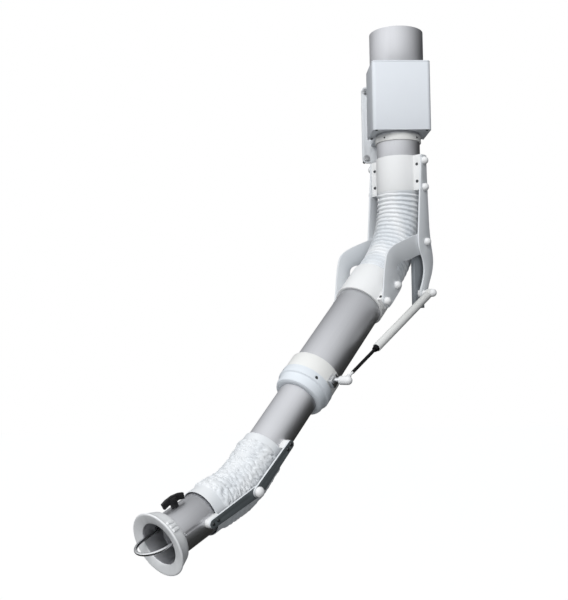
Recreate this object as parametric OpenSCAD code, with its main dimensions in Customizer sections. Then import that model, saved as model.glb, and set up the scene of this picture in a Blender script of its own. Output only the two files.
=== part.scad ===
// Wall-mounted fume extraction arm: bracket and swivel housing, plated upper
// elbow with a gas spring, telescopic tubes, lower link joint and nozzle.
// Origin: on the wall face, at the centre of the four wall studs.
// X runs right as seen from the room, Y runs into the wall, Z runs up.

/* [Rest position] */
// Turn of the arm to the left of straight out from the wall
arm_turn = 45; // [0:1:80]
// Dip of the arm tubes below level
upper_dip = 43; // [38:1:50]
// Dip of the nozzle below level
nozzle_dip = 22; // [14:1:30]

/* [Wall plate] */
// Distance from the wall face to the duct axis
reach = 110; // [106:1:125]
// Width of the wall plate
wall_plate_w = 142; // [136:1:160]
// Height of the wall plate
wall_plate_h = 190; // [184:1:200]
// Thickness of the wall plate
wall_plate_t = 6; // [4:0.5:8]
// Corner radius of the wall plate
wall_corner_r = 12; // [6:1:14]
// Width between the wall studs
stud_gap_x = 122; // [118:1:126]
// Height between the wall studs
stud_gap_z = 166; // [160:1:170]
// Diameter of a wall stud
stud_d = 8; // [6:1:10]
// Step from the bolt's neck in the plate to its stud
stud_step = 0.5; // [0.3:0.1:1]
// Length of stud that goes into the wall
stud_reach = 40; // [25:1:60]
// Width of the console between plate and housing
console_w = 100; // [98:1:102]
// Sheet thickness of the console
console_t = 3; // [2:0.5:3]

/* [Housing] */
// Housing's side beyond the spigot
box_side = 4.5; // [2:0.5:8]
// Housing front, measured from the duct axis
box_front = 66; // [64:1:72]
// Housing rear edge, measured from the duct axis
box_rear = 37; // [33:1:40]
// Height of the housing cover
box_h = 157; // [150:1:170]
// Underside of the housing, below the origin
box_drop = 54; // [50:1:60]
// Sheet thickness of the cover
cover_t = 2; // [1:0.5:3]
// Radius of the cover's upright edges
cover_r = 9; // [4:1:12]
// Thickness of the top and bottom panels
panel_t = 3; // [2:0.5:4]
// Depth to which the bottom panel is set in
panel_recess = 1.5; // [1:0.5:4]

/* [Ducts] */
// Outside diameter of the top spigot
spigot_d = 125; // [120:1:126]
// Height of the top spigot above the housing
spigot_h = 82; // [60:1:120]
// Outside diameter of the large arm tube
tube_d = 100; // [98:0.5:101]
// Outside diameter of the small arm tube and nozzle
inner_d = 80; // [76:0.5:81]
// Wall of every tube
tube_wall = 1.5; // [1:0.1:1.6]

/* [Swivel head] */
// Wall of the swivel collar
collar_wall = 3; // [2:0.5:6]
// Height of the swivel collar
collar_h = 15; // [10:1:18]
// Gap between housing and collar
collar_gap = 4; // [2:1:6]
// Wall of the upper sleeve
head_sleeve_wall = 2; // [1.5:0.5:4]
// Length of the upper sleeve
head_sleeve_len = 81; // [78:1:90]
// Upper sleeve's lower end, above the elbow axis
head_sleeve_rise = 119; // [115:1:125]
// Bare length of down tube between collar and upper sleeve
head_tube_show = 36; // [20:1:60]
// Length of down tube held in the upper sleeve
head_tube_hold = 45; // [30:1:50]

/* [Elbow plates] */
// Thickness of every elbow plate
plate_t = 4; // [3:0.5:5]
// Gap between the upper hose and the support bars
bar_gap = 1.5; // [1:0.5:4]
// Gap between the support bars and the lower plates
arm_plate_gap = 2; // [1:0.5:4]
// Gap between the lower and the upper plates
head_plate_gap = 1; // [0.5:0.5:3]
// Thickness of the support bars
bar_t = 10; // [6:0.5:10]
// Diameter of the elbow pivot bolts
pivot_d = 10; // [8:1:11]
// Wall of the lower sleeve
arm_sleeve_wall = 5; // [3:0.5:7]
// Lower sleeve's start along the arm
arm_sleeve_from = 136; // [134:1:138]
// Length of the lower sleeve
arm_sleeve_len = 81; // [78:1:84]

/* [Telescope] */
// Start of the large arm tube along the arm
outer_from = 150; // [150:1:152]
// End of the large arm tube along the arm
outer_to = 470; // [464:1:474]
// Start of the small arm tube along the arm
inner_from = 258; // [250:1:290]
// Bare length of the small arm tube between guide ring and upper link
inner_show = 110.9; // [60:0.1:160]
// From the small arm tube's end to the lower elbow
inner_short = 77; // [72:1:79]
// Wall of the clamp ring
clamp_wall = 5.75; // [4:0.25:7]
// Clamp ring's start along the arm
clamp_from = 421; // [418:1:424]
// Length of the clamp ring
clamp_len = 36; // [32:1:38]
// Wall of the guide ring round the large tube
guide_wall = 7; // [5:0.5:9]
// Guide ring's nose beyond the small tube
guide_nose_wall = 12.5; // [11.5:0.5:14]
// Length of the guide ring
guide_len = 39; // [36:1:44]

/* [Gas spring] */
// Spring's upper bolt, out from the elbow axis
spring_top_out = 15; // [14:1:16]
// Spring's upper bolt, below the elbow axis
spring_top_drop = 118.3; // [116:0.1:120]
// Spring's lower stud, along the arm
spring_low_along = 442; // [438:1:444]
// Spring's lower stud, under the tube axis
spring_low_under = 3.4; // [2:0.1:5]
// Diameter of the spring's cylinder
spring_d = 18; // [16:1:20]
// Diameter of the spring's rod
rod_d = 7; // [6:1:9]
// Length from the upper bolt to the cylinder's open end
spring_len = 234; // [228:1:238]

/* [Lower joint] */
// Link pivot after the lower elbow
pivot_past = 11.5; // [8:0.5:16]
// Width of the links at their blocks
link_w = 16; // [15:0.5:18]
// Thickness of the links
link_t = 4; // [3:0.5:4]
// Inner face of the nozzle's links from the mid plane
link_b = 50; // [50:0.5:52]
// Length of a link block
link_block_len = 24; // [22:1:26]
// Upper link's end before the lower elbow
link_end_before = 115; // [112:1:118]
// Lower link's end after the lower elbow
link_end_after = 135; // [132:1:138]
// Diameter of the link pins
link_pin_d = 8; // [6:1:8]

/* [Nozzle] */
// Start of the nozzle tube after the lower elbow
nozzle_from = 84; // [80:1:90]
// End of the nozzle tube after the lower elbow
nozzle_to = 209; // [207:1:210]
// Hood's front rim beyond its back
hood_rim = 10.3; // [8:0.1:13]
// Hood's back beyond the nozzle tube
hood_back_wall = 10; // [8:1:12]
// Back of the hood after the lower elbow
hood_from = 186.7; // [185:0.1:188]
// Front of the hood after the lower elbow
hood_to = 214; // [212:0.5:218]
// Rod diameter of the handle loop
handle_rod_d = 6; // [5:0.5:7]
// Damper axis after the lower elbow
damper_at = 153; // [150:1:156]
// Turn of the damper axis to the left of upright
damper_turn = 2; // [0:1:20]
// Length of the damper knob's wing
knob_wing_len = 46; // [30:1:46]
// Turn of the damper from fully open
damper_open = 10; // [0:1:20]

/* [Hoses] */
// Number of ribs on the upper hose
head_hose_ribs = 19; // [12:1:24]
// Number of ribs on the lower hose
arm_hose_ribs = 14; // [8:1:20]
// Sag of the lower hose at its middle
arm_hose_sag = 5; // [0:0.5:5]

/* [Fasteners] */
// Diameter of the plate bolts
bolt_d = 8; // [6:1:8]
// Diameter of a domed cap
cap_d = 17.6; // [16:0.2:18]
// Height of a domed cap
cap_h = 11; // [9:0.5:14]
// Diameter of the caps on the link pins
link_cap_d = 20; // [18:0.5:21]
// Diameter of the small screws
screw_d = 4; // [3:0.5:5]

/* [Hidden] */
$fn = 64;
eps = 0.5;            // overrun of every cut
snug = 0.05;          // radial gap of a running or bolted fit
face_gap = 0.1;       // gap between flat faces that slide
air_gap = 0.3;        // gap between curved faces of different bodies
box_w = spigot_d + 2 * box_side;
box_z = -box_drop;
box_top = box_z + box_h + panel_t;
elbow_drop = box_drop + collar_gap + collar_h + head_tube_show + head_sleeve_len + head_sleeve_rise;
elbow_z = -elbow_drop;
guide_from = clamp_from + clamp_len + face_gap;
guide_to = guide_from + guide_len;
bend_len = guide_to + inner_show + link_end_before;
inner_to = bend_len - inner_short;
pivot_along = bend_len + pivot_past;
link_end_along = bend_len - link_end_before;
tube_r = tube_d / 2;
tube_in = tube_r - tube_wall;
inner_r = inner_d / 2;
inner_in = inner_r - tube_wall;
collar_d = tube_d + 2 * collar_wall;
head_sleeve_d = tube_d + 2 * head_sleeve_wall;
arm_sleeve_d = tube_d + 2 * arm_sleeve_wall;
clamp_d = tube_d + 2 * clamp_wall;
guide_d = tube_d + 2 * guide_wall;
guide_nose_d = inner_d + 2 * guide_nose_wall;
hood_back_d = inner_d + 2 * hood_back_wall;
hood_d = hood_back_d + 2 * hood_rim;

// Across the elbow, outwards from the hose: bars, lower plates, upper plates
hose_crest = 0.5;
head_hose_crest = tube_r + hose_crest;
bar_b = head_hose_crest + bar_gap;
bar_out_b = bar_b + bar_t;
arm_plate_b = bar_out_b + arm_plate_gap;
head_plate_b = arm_plate_b + plate_t + head_plate_gap;
plate_out_b = head_plate_b + plate_t;   // outer face of the upper plates

// Housing internals, heights above the housing's underside
bush_from = 20;
bush_to = 60;
bush_flange_t = 2;
bush_wall = 5;
housing_wall = 5;
stop_ring_t = 12;
stop_ring_wall = 8;
down_tube_top = 80;
reducer_wall = 1.5;
reducer_lap = 4;
reducer_neck = 10;
reducer_neck_z = down_tube_top + reducer_neck;
reducer_lip = 9;
reducer_top_z = box_h - reducer_lip;
reducer_flange = 1;
spigot_wall = 2;
spigot_neck = 10;

// Heights that the head's pieces share, above the elbow axis
head_sleeve_z = elbow_z + head_sleeve_rise;
head_sleeve_top = head_sleeve_z + head_sleeve_len;
down_tube_z = head_sleeve_top - head_tube_hold;
head_bolt_low_in = 5.75;
head_bolt_high_in = 14;
head_bolt_rises = [head_sleeve_rise + head_bolt_low_in,
    head_sleeve_rise + head_sleeve_len - head_bolt_high_in];
head_bolt_out = 4;
head_saddle_back = 7;
head_saddle_out = 13;
saddle_screw_inset = 9;
head_screw_low_in = 20;
head_screw_high_in = 21.5;
head_screw_rises = [head_sleeve_rise + head_screw_low_in,
    head_sleeve_rise + head_sleeve_len - head_screw_high_in];
arm_saddle_under = 14;
arm_saddle_over = 13;
arm_bolt_in = 16;
arm_bolt_out = 12;
arm_bolts = [arm_sleeve_from + arm_bolt_in, arm_sleeve_from + arm_sleeve_len - arm_bolt_out];

// Hex heads and caps
head_h = 5;
head_r = 6.4;
cap_rim = 4;
washer_r = 14;
set_screw_count = 4;
bolt_end_gap = 2;     // from a bolt's end to the sleeve

// Outline of an upper plate: places out from the elbow axis and above it,
// as shares of the plate's height above the axis
head_plate_short = 1;
head_plate_rise = head_sleeve_rise + head_sleeve_len - head_plate_short;
head_plate_shares = [
    [0.062, 1], [0.066, 0.96], [0.086, 0.75], [0.112, 0.47], [0.138, 0.18], [0.15, 0.05],
    [0.14, -0.07], [0.1, -0.15], [0.062, -0.235], [0.052, -0.34], [0.078, -0.44],
    [0.122, -0.535], [0.135, -0.59], [0.12, -0.64], [0.075, -0.658], [0.028, -0.64],
    [0.005, -0.585], [-0.04, -0.47], [-0.096, -0.355], [-0.125, -0.24],
    [-0.122, -0.15], [-0.095, -0.03], [-0.068, 0.15], [-0.058, 0.32],
    [-0.042, 0.7], [-0.035, 0.96], [-0.033, 1]];
// Outline of a lower plate: along the arm and above its axis, as shares of
// the distance from the elbow axis to the far end of the lower sleeve
arm_plate_short = 3;
arm_plate_len = arm_sleeve_from + arm_sleeve_len - arm_plate_short;
arm_plate_shares = [
    [-0.065, 0.105], [0.03, 0.135], [0.19, 0.208], [0.36, 0.281], [0.485, 0.324],
    [0.583, 0.334], [0.665, 0.301], [0.775, 0.224], [0.88, 0.135], [0.965, 0.07],
    [1, 0.02], [0.985, -0.064], [0.93, -0.082], [0.82, -0.082], [0.68, -0.075],
    [0.625, -0.04], [0.61, 0.058], [0.586, 0.112], [0.535, 0.133], [0.46, 0.108],
    [0.365, 0.047], [0.2, -0.023], [0.09, -0.095], [0, -0.125], [-0.08, -0.095],
    [-0.125, 0]];
smooth_steps = 4;
bar_front = 33;
bar_back = 2;
bar_foot = 150;
bar_shoulder = 42;
bar_eye_r = 14;
bush_r = 9;

// Gas spring, worked out from its two ends in the arm's plane
spring_low_out = spring_low_along * cos(upper_dip) - spring_low_under * sin(upper_dip);
spring_low_drop = spring_low_along * sin(upper_dip) + spring_low_under * cos(upper_dip);
spring_run = spring_low_out - spring_top_out;
spring_fall = spring_low_drop - spring_top_drop;
spring_dip = atan2(spring_fall, spring_run);
spring_span = sqrt(spring_run * spring_run + spring_fall * spring_fall);
spring_eye_t = 12;
spring_spacer_t = 8.9;
spring_b = plate_out_b + spring_spacer_t + face_gap + spring_eye_t / 2;
spring_eye_r = 9;
spring_neck_r = 5.2;
spring_shoulder_gap = 1;
spring_wall = 1.6;
spring_end_t = 8;
gland_h = 8;
gland_in = 12;
gland_step = 3;
piston_at = 138;
piston_h = 10;
thread_len = 12;
rod_eye_r = 9;
rod_neck_r = 4.5;
rod_neck_len = 17.3;
rod_eye_back = 10;
rod_eye_front = 8;
lug_from_b = 50;
lug_to_b = 66;
lug_len = 23;
lug_under = 12;
lug_over = 7;
stud_r = 6;
stud_root = 1;

// Telescope internals
wear_ring_len = 18;
bead_h = 3;
bead_t = 3.9;
guide_wide = 19;
guide_bush_wall = 6;
guide_lip = 3;
guide_edge = 2;
guide_round = 6;
guide_screw_turns = [-60, 30, 120, 210];

// Lower joint: link centrelines and pivot, as places across and along each tube
link_bend = upper_dip - nozzle_dip;
link_out_b = link_b + link_t;
link_under = 2.3;
pivot_under = -0.5;
arm_pivot = [pivot_under, pivot_along];
nozzle_pivot = [pivot_under * cos(link_bend) + pivot_past * sin(link_bend),
    pivot_past * cos(link_bend) - pivot_under * sin(link_bend)];
link_eye_r = 10.5;
link_screw_gap = 12.5;
strap_inset = 0.03;
block_to = link_end_along + link_block_len;
low_block_extra = 4;
low_block_len = link_block_len + low_block_extra;
block_after = link_end_after - low_block_len;
block_depth = 6;

// Nozzle
hood_flare = 4;
hood_lip = 2.5;
hood_edge = 2;
grip_in = 3;
grip_end = 8;
hood_grip_h = 2;
hood_grip_w = 4.5;
hood_step_turn = 8;
hood_grip_groups = 3;
hood_grip_turn = 50;
hood_grip_shift = 2.4;
handle_from = 184;
handle_bow_from = 216;
handle_turn = 9;
handle_pad_len = 10;
handle_screw_in = 4;
handle_pad_w = 11;
handle_pad_t = 3;
blade_t = 1.5;
shaft_d = 6;
knob_hub_r = 7;
knob_hub_h = 17;
knob_wing_t = 6;
knob_wing_h = 17;
knob_wing_from = 3;
knob_gap = 1;
knob_roof = 2;
shaft_past = 1.5;
blade_gap = 1;

// Hoses
hose_sides = 16;
hose_wall = 1.5;
hose_depth = 4;
head_hose_valley = head_hose_crest - hose_depth;
head_hose_tangent = 108;
arm_hose_crest = 47;
arm_hose_valley = 43.8;
arm_hose_tangent = 58;
arm_hose_before = bend_len - block_to - face_gap;
arm_hose_after = block_after - face_gap;
arm_hose_cuff_r = 42.9;
cuff_show = 2;

// Frames
module on_duct_axis() translate([0, -reach, 0]) children();
// X out along the arm, Y to the arm's right side, Z up
module arm_frame() on_duct_axis() rotate([0, 0, 270 - arm_turn]) children();
// Z along the arm tubes from the elbow axis, X to their underside
module tube_frame() arm_frame() translate([0, 0, elbow_z]) rotate([0, 90 + upper_dip, 0]) children();
// Z along the nozzle from the lower elbow, X to its underside
module nozzle_frame() tube_frame() translate([0, 0, bend_len]) rotate([0, -link_bend, 0]) children();
// Z along the gas spring from its upper bolt
module spring_frame() arm_frame()
    translate([spring_top_out, spring_b, elbow_z - spring_top_drop])
    rotate([0, 90 + spring_dip, 0]) children();
// Z out along the damper's axis, X along the nozzle
module damper_frame() nozzle_frame() translate([0, 0, damper_at])
    rotate([0, 0, damper_turn]) rotate([0, -90, 0]) rotate([0, 0, -damper_open]) children();

// Shapes
// A tube round Z from one height to another
module pipe(r_out, r_in, from, to)
    rotate_extrude() translate([r_in, from]) square([r_out - r_in, to - from]);
// A 2D shape drawn on X and Z, as a plate whose faces are at Y = b and b + t
module upright(b, t) translate([0, b + t, 0]) rotate([90, 0, 0]) linear_extrude(t) children();
// A round bar along Y from one offset to another
module bar_y(r, from, to) translate([0, from, 0]) rotate([-90, 0, 0]) cylinder(r = r, h = to - from);
// Children on the right side and mirrored on the left
module both_sides() {
    children();
    mirror([0, 1, 0]) children();
}
module rounded_rect(w, h, r) {
    square([w - 2 * r, h], center = true);
    square([w, h - 2 * r], center = true);
    for (x = [-1, 1], y = [-1, 1]) translate([x * (w / 2 - r), y * (h / 2 - r)]) circle(r);
}
// A curve through every point of a closed outline
function curve_point(a, b, c, d, t) = 0.5 * ((2 * b) + (c - a) * t
    + (2 * a - 5 * b + 4 * c - d) * t * t + (3 * b - 3 * c + d - a) * t * t * t);
function smooth(pts, steps) = let (n = len(pts)) [for (i = [0 : n - 1], k = [0 : steps - 1])
    curve_point(pts[(i + n - 1) % n], pts[i], pts[(i + 1) % n], pts[(i + 2) % n], k / steps)];
// A hex head with its washer face down on Z = 0
module hex_head() cylinder(r = head_r, h = head_h, $fn = 6);
// A domed cap on Z = 0, hollow over a hex head
module domed_cap(d) {
    dome = cap_h - cap_rim;
    dome_r = (d * d / 4 + dome * dome) / (2 * dome);
    difference() {
        intersection() {
            cylinder(d = d, h = cap_h);
            translate([0, 0, cap_h - dome_r]) sphere(dome_r, $fn = 96);
        }
        translate([0, 0, -eps]) cylinder(r = head_r + snug, h = head_h + face_gap + eps);
    }
}
// Faces outwards from Y = b, for heads and caps on the right side
module facing_out(b) translate([0, b, 0]) rotate([-90, 0, 0]) children();
// A small round screw: head above Z = 0, shank below
module small_screw(shank) {
    cylinder(r = screw_d * 0.9, h = screw_d / 2);
    translate([0, 0, -shank]) cylinder(d = screw_d, h = shank);
}

// Wall bracket and housing
module at_studs() for (x = [-1, 1], z = [-1, 1])
    translate([x * stud_gap_x / 2, 0, z * stud_gap_z / 2]) children();

module wall_plate() color("whitesmoke") difference() {
    upright(-wall_plate_t, wall_plate_t) rounded_rect(wall_plate_w, wall_plate_h, wall_corner_r);
    at_studs() bar_y(stud_d / 2 + stud_step + snug, -wall_plate_t - eps, eps);
}

module wall_bolts() color("silver") at_studs() {
    bar_y(stud_d / 2, -wall_plate_t, stud_reach);
    bar_y(stud_d / 2 + stud_step, -wall_plate_t, 0);
    bar_y(stud_d, -wall_plate_t - panel_recess, -wall_plate_t);
    translate([0, -wall_plate_t - panel_recess, 0]) rotate([90, 0, 0]) hex_head();
}

console_back = -wall_plate_t;
console_behind = 7;
console_front = -reach + box_rear + console_behind;
module console() color("gainsboro") translate([0, 0, box_z + panel_recess + panel_t]) {
    h = box_h - panel_recess - panel_t;
    translate([-console_w / 2, console_back - console_t, 0]) cube([console_w, console_t, h]);
    for (x = [-console_w / 2, console_w / 2 - console_t])
        translate([x, console_front, 0]) cube([console_t, console_back - console_front, h]);
}

// Outline of the housing seen from above, open edge at the rear
module box_outline(inset) translate([0, -reach]) {
    w = box_w - 2 * inset;
    r = cover_r - inset;
    front = box_front - inset;
    translate([-w / 2, -front + r]) square([w, front - r + box_rear]);
    translate([-w / 2 + r, -front]) square([w - 2 * r, r + eps]);
    for (x = [-1, 1]) translate([x * (w / 2 - r), -front + r]) circle(r);
}
module box_cover() color("lavender") translate([0, 0, box_z]) linear_extrude(box_h) difference() {
    box_outline(0);
    box_outline(cover_t);
    translate([-box_w / 2 + cover_t, -reach + box_rear - eps]) square([box_w - 2 * cover_t, 2 * eps]);
}

// A panel with its tongue between the console's cheeks
module panel(inset, hole_r, rear_in, rear_end) difference() {
    union() {
        box_outline(inset);
        translate([-console_w / 2, -reach]) square([console_w, reach - wall_plate_t]);
    }
    translate([0, -reach]) circle(hole_r);
    at_panel_screws(rear_in, rear_end) circle(screw_d / 2 + snug);
}
neck_r = spigot_d / 2 - spigot_wall + snug;
module top_panel() color("white") translate([0, 0, box_z + box_h])
    linear_extrude(panel_t) panel(0, neck_r + snug, top_screw_in, top_screw_end);
module bottom_panel() color("gainsboro") translate([0, 0, box_z + panel_recess])
    linear_extrude(panel_t) panel(cover_t + snug, tube_r + air_gap, screw_in, screw_end);

// Screws in from the housing's sides and front, and from its rear edge; the
// top's rear pair stands further out, clear of a sleeve on the spigot
screw_in = 9;
screw_end = 8;
top_screw_in = 6;
top_screw_end = 4.5;
module at_panel_screws(rear_in, rear_end) for (side = [-1, 1]) {
    translate([side * (box_w / 2 - screw_in), -reach - box_front + screw_in, 0]) children();
    translate([side * (box_w / 2 - rear_in), -reach + box_rear - rear_end, 0]) children();
}
module panel_screws() color("dimgray") {
    at_panel_screws(top_screw_in, top_screw_end) translate([0, 0, box_top]) small_screw(panel_t);
    at_panel_screws(screw_in, screw_end) translate([0, 0, box_z + panel_recess])
        mirror([0, 0, 1]) small_screw(panel_t);
}

module top_spigot() color("silver") on_duct_axis() {
    pipe(spigot_d / 2, spigot_d / 2 - spigot_wall, box_top, box_top + spigot_h);
    pipe(neck_r, neck_r - spigot_wall, box_top - spigot_neck, box_top + spigot_neck);
}

// Cone that brings the spigot down to the swivelling tube
module reducer() color("silver") on_duct_axis() translate([0, 0, box_z]) rotate_extrude() {
    top_in = neck_r + snug;
    low_in = tube_r + air_gap;
    flange_r = top_in + reducer_wall + reducer_flange;
    polygon([[low_in, down_tube_top - reducer_lap], [low_in, reducer_neck_z], [top_in, reducer_top_z],
        [top_in, box_h], [flange_r, box_h], [flange_r, box_h - reducer_wall],
        [top_in + reducer_wall, box_h - reducer_wall], [top_in + reducer_wall, reducer_top_z],
        [low_in + reducer_wall, reducer_neck_z], [low_in + reducer_wall, down_tube_top - reducer_lap]]);
}

bush_r_out = tube_r + bush_wall;
module swivel_housing() color("darkgray") on_duct_axis() translate([0, 0, box_z]) difference() {
    union() {
        translate([0, 0, bush_from]) cylinder(r = bush_r_out + housing_wall, h = bush_to - bush_from);
        translate([-console_w / 2 + console_t + face_gap, 0, bush_from])
            cube([console_w - 2 * (console_t + face_gap), reach - wall_plate_t - console_t - face_gap,
                bush_to - bush_from]);
    }
    translate([0, 0, bush_from - eps]) cylinder(r = bush_r_out + snug, h = bush_to - bush_from + 2 * eps);
}
module swivel_bush() color("ivory") on_duct_axis() translate([0, 0, box_z]) {
    pipe(bush_r_out, tube_r + snug, bush_from, bush_to);
    pipe(bush_r_out + housing_wall / 2, tube_r + snug, bush_to, bush_to + bush_flange_t);
}

// Swivel head
module down_tube() color("silver") arm_frame()
    pipe(tube_r, tube_in, down_tube_z, box_z + down_tube_top);
module stop_ring() color("dimgray") arm_frame() {
    from = box_z + bush_to + bush_flange_t + face_gap;
    pipe(tube_r + stop_ring_wall, tube_r + snug, from, from + stop_ring_t);
}
collar_top = box_z - collar_gap;
set_screw_r = 2.2;
module at_set_screws() for (k = [0 : set_screw_count - 1])
    rotate([0, 0, k * 360 / set_screw_count]) translate([0, 0, collar_top - collar_h / 2])
        rotate([0, 90, 0]) children();
module swivel_collar() color("cornsilk") arm_frame() difference() {
    pipe(collar_d / 2, tube_r + snug, collar_top - collar_h, collar_top);
    at_set_screws() cylinder(r = set_screw_r + snug, h = collar_d);
}
module at_head_saddle_screws() both_sides()
    for (rise = head_screw_rises)
        translate([head_saddle_out, head_plate_b - saddle_screw_inset, elbow_z + rise])
            rotate([0, 90, 0]) children();
saddle_screw_len = 10;
module head_screws() color("dimgray") arm_frame() {
    at_set_screws() translate([0, 0, tube_r + 2 * snug])
        cylinder(r = set_screw_r, h = collar_d / 2 - tube_r - 2 * snug);
    at_head_saddle_screws() small_screw(saddle_screw_len);
}
module upper_sleeve() color("whitesmoke") arm_frame()
    pipe(head_sleeve_d / 2, tube_r + snug, head_sleeve_z, head_sleeve_top);
module at_head_bolts() for (rise = head_bolt_rises) translate([head_bolt_out, 0, elbow_z + rise]) children();
module upper_saddles() color("white") arm_frame() difference() {
    both_sides() translate([-head_saddle_back, tube_in, head_sleeve_z])
        cube([head_saddle_back + head_saddle_out, head_plate_b - tube_in, head_sleeve_len]);
    translate([0, 0, head_sleeve_z - eps])
        cylinder(r = head_sleeve_d / 2 + snug, h = head_sleeve_len + 2 * eps);
    both_sides() at_head_bolts() bar_y(bolt_d / 2 + snug, head_sleeve_d / 2 + snug, head_plate_b + eps);
    at_head_saddle_screws() translate([0, 0, -saddle_screw_len - eps])
        cylinder(r = screw_d / 2 + snug, h = saddle_screw_len + 2 * eps);
}
module head_plate() difference() {
    upright(head_plate_b, plate_t) translate([0, elbow_z])
        polygon(smooth(head_plate_rise * head_plate_shares, smooth_steps));
    at_head_bolts() bar_y(bolt_d / 2 + snug, head_plate_b - eps, plate_out_b + eps);
    at_elbow() bar_y(pivot_d / 2 + snug, head_plate_b - eps, plate_out_b + eps);
    at_spring_top() bar_y(bolt_d / 2 + snug, head_plate_b - eps, plate_out_b + eps);
}
module at_elbow() translate([0, 0, elbow_z]) children();
module at_spring_top() translate([spring_top_out, 0, elbow_z - spring_top_drop]) children();
module upper_plate_right() color("lightgray") arm_frame() head_plate();
module upper_plate_left() color("lightgray") arm_frame() mirror([0, 1, 0]) head_plate();

// Straight bars inside the plates, which hold the inner ends of the bolts
module support_bars() color("dimgray") arm_frame() both_sides() difference() {
    upright(bar_b, bar_t) translate([0, elbow_z]) {
        circle(bar_eye_r);
        polygon([[-bar_eye_r, 0], [bar_eye_r, 0], [bar_front, -bar_shoulder],
            [bar_front, -bar_foot], [-bar_back, -bar_foot], [-bar_back, -bar_shoulder]]);
    }
    at_elbow() bar_y(pivot_d / 2 + snug, bar_b - eps, bar_out_b + eps);
    at_spring_top() bar_y(bolt_d / 2 + snug, bar_b - eps, bar_out_b + eps);
}
// Spacers between bar and plate on both sides, and under the gas spring's eye
module bolt_spacers() color("white") arm_frame() at_spring_top() difference() {
    union() {
        both_sides() bar_y(bush_r, bar_out_b, head_plate_b);
        bar_y(washer_r / 2, plate_out_b, plate_out_b + spring_spacer_t);
    }
    both_sides() bar_y(bolt_d / 2 + snug, bar_out_b - eps, spring_b);
}
module head_bolts() color("silver") arm_frame() {
    both_sides() at_head_bolts() {
        bar_y(bolt_d / 2, head_sleeve_d / 2 + bolt_end_gap, plate_out_b);
        facing_out(plate_out_b) hex_head();
    }
    mirror([0, 1, 0]) at_spring_top() {
        bar_y(bolt_d / 2, bar_b, plate_out_b);
        facing_out(plate_out_b) hex_head();
    }
    at_spring_top() {
        bar_y(bolt_d / 2, bar_b, spring_b + spring_eye_t / 2 + face_gap);
        facing_out(spring_b + spring_eye_t / 2 + face_gap) hex_head();
    }
}
module pivot_bolts() color("silver") arm_frame() both_sides() at_elbow() {
    bar_y(pivot_d / 2, bar_b, plate_out_b);
    facing_out(plate_out_b) hex_head();
}
module pivot_washers() color("ivory") arm_frame() both_sides() at_elbow() difference() {
    union() {
        bar_y(washer_r, bar_out_b, arm_plate_b - face_gap / 2);
        bar_y(washer_r, arm_plate_b + plate_t + face_gap / 2, head_plate_b);
    }
    bar_y(pivot_d / 2 + snug, bar_b, plate_out_b);
}
module upper_caps() color("white") arm_frame() {
    both_sides() {
        at_head_bolts() facing_out(plate_out_b) domed_cap(cap_d);
        at_elbow() facing_out(plate_out_b) domed_cap(cap_d);
    }
    mirror([0, 1, 0]) at_spring_top() facing_out(plate_out_b) domed_cap(cap_d);
    at_spring_top() facing_out(spring_b + spring_eye_t / 2 + face_gap) domed_cap(cap_d);
}

// Hoses
// A hose round a bend: leg A comes along +Z to the corner at the origin, leg B
// leaves turned towards +X. bend_at gives X, Z and the turn at a distance s.
function bend_radius(tangent, bend) = tangent / tan(bend / 2);
function hose_len(a, b, tangent, bend) = a + b - 2 * tangent
    + bend_radius(tangent, bend) * bend * PI / 180;
function bend_at(s, a, tangent, bend) = let (
        r = bend_radius(tangent, bend), s1 = a - tangent, arc = r * bend * PI / 180)
    s <= s1 ? [0, s - a, 0]
    : s <= s1 + arc ? let (turn = (s - s1) / arc * bend) [r * (1 - cos(turn)), r * sin(turn) - tangent, turn]
    : let (q = s - s1 - arc) [(tangent + q) * sin(bend), (tangent + q) * cos(bend), bend];
// One ring of the hose, shifted outwards from the bend
function hose_ring(place, r, shift) = [for (k = [0 : hose_sides - 1])
    let (turn = place[2], angle = k * 360 / hose_sides, across = r * cos(angle) - shift)
    [place[0] + across * cos(turn), r * sin(angle), place[1] - across * sin(turn)]];
// Distances and outer radii: a cuff, ribs of a crest and a valley, a cuff
function hose_stations(length, cuff_a, cuff_b, ribs, cuff_ra, cuff_rb, crest, valley) = let (
        pitch = (length - cuff_a - cuff_b) / (ribs + 0.5))
    concat([[0, cuff_ra], [cuff_a, cuff_ra]],
        [for (k = [0 : ribs - 1])
            each [[cuff_a + (k + 0.5) * pitch, crest], [cuff_a + (k + 1) * pitch, valley]]],
        [[length - cuff_b, cuff_rb], [length, cuff_rb]]);
module bent_hose(a, b, tangent, bend, cuff_a, cuff_b, ribs, cuff_ra, cuff_rb, crest, valley, sag) {
    length = hose_len(a, b, tangent, bend);
    stations = hose_stations(length, cuff_a, cuff_b, ribs, cuff_ra, cuff_rb, crest, valley);
    n = len(stations);
    function sag_at(s) = s < cuff_a || s > length - cuff_b ? 0
        : sag * pow(sin(180 * (s - cuff_a) / (length - cuff_a - cuff_b)), 2);
    function ring(i, wall) = hose_ring(bend_at(stations[i][0], a, tangent, bend),
        stations[i][1] - wall, sag_at(stations[i][0]));
    rings = concat([for (i = [0 : n - 1]) ring(i, 0)], [for (i = [n - 1 : -1 : 0]) ring(i, hose_wall)]);
    m = len(rings);
    polyhedron(points = [for (r = rings) each r],
        faces = [for (i = [0 : m - 1], k = [0 : hose_sides - 1]) let (
            p = i * hose_sides + k, q = i * hose_sides + (k + 1) % hose_sides,
            j = (i + 1) % m, u = j * hose_sides + k, v = j * hose_sides + (k + 1) % hose_sides)
            each [[p, q, v], [p, v, u]]]);
}
head_hose_before = down_tube_z - air_gap - elbow_z;
head_hose_after = outer_from - air_gap;
head_hose_cuff_r = tube_r - snug;
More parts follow.
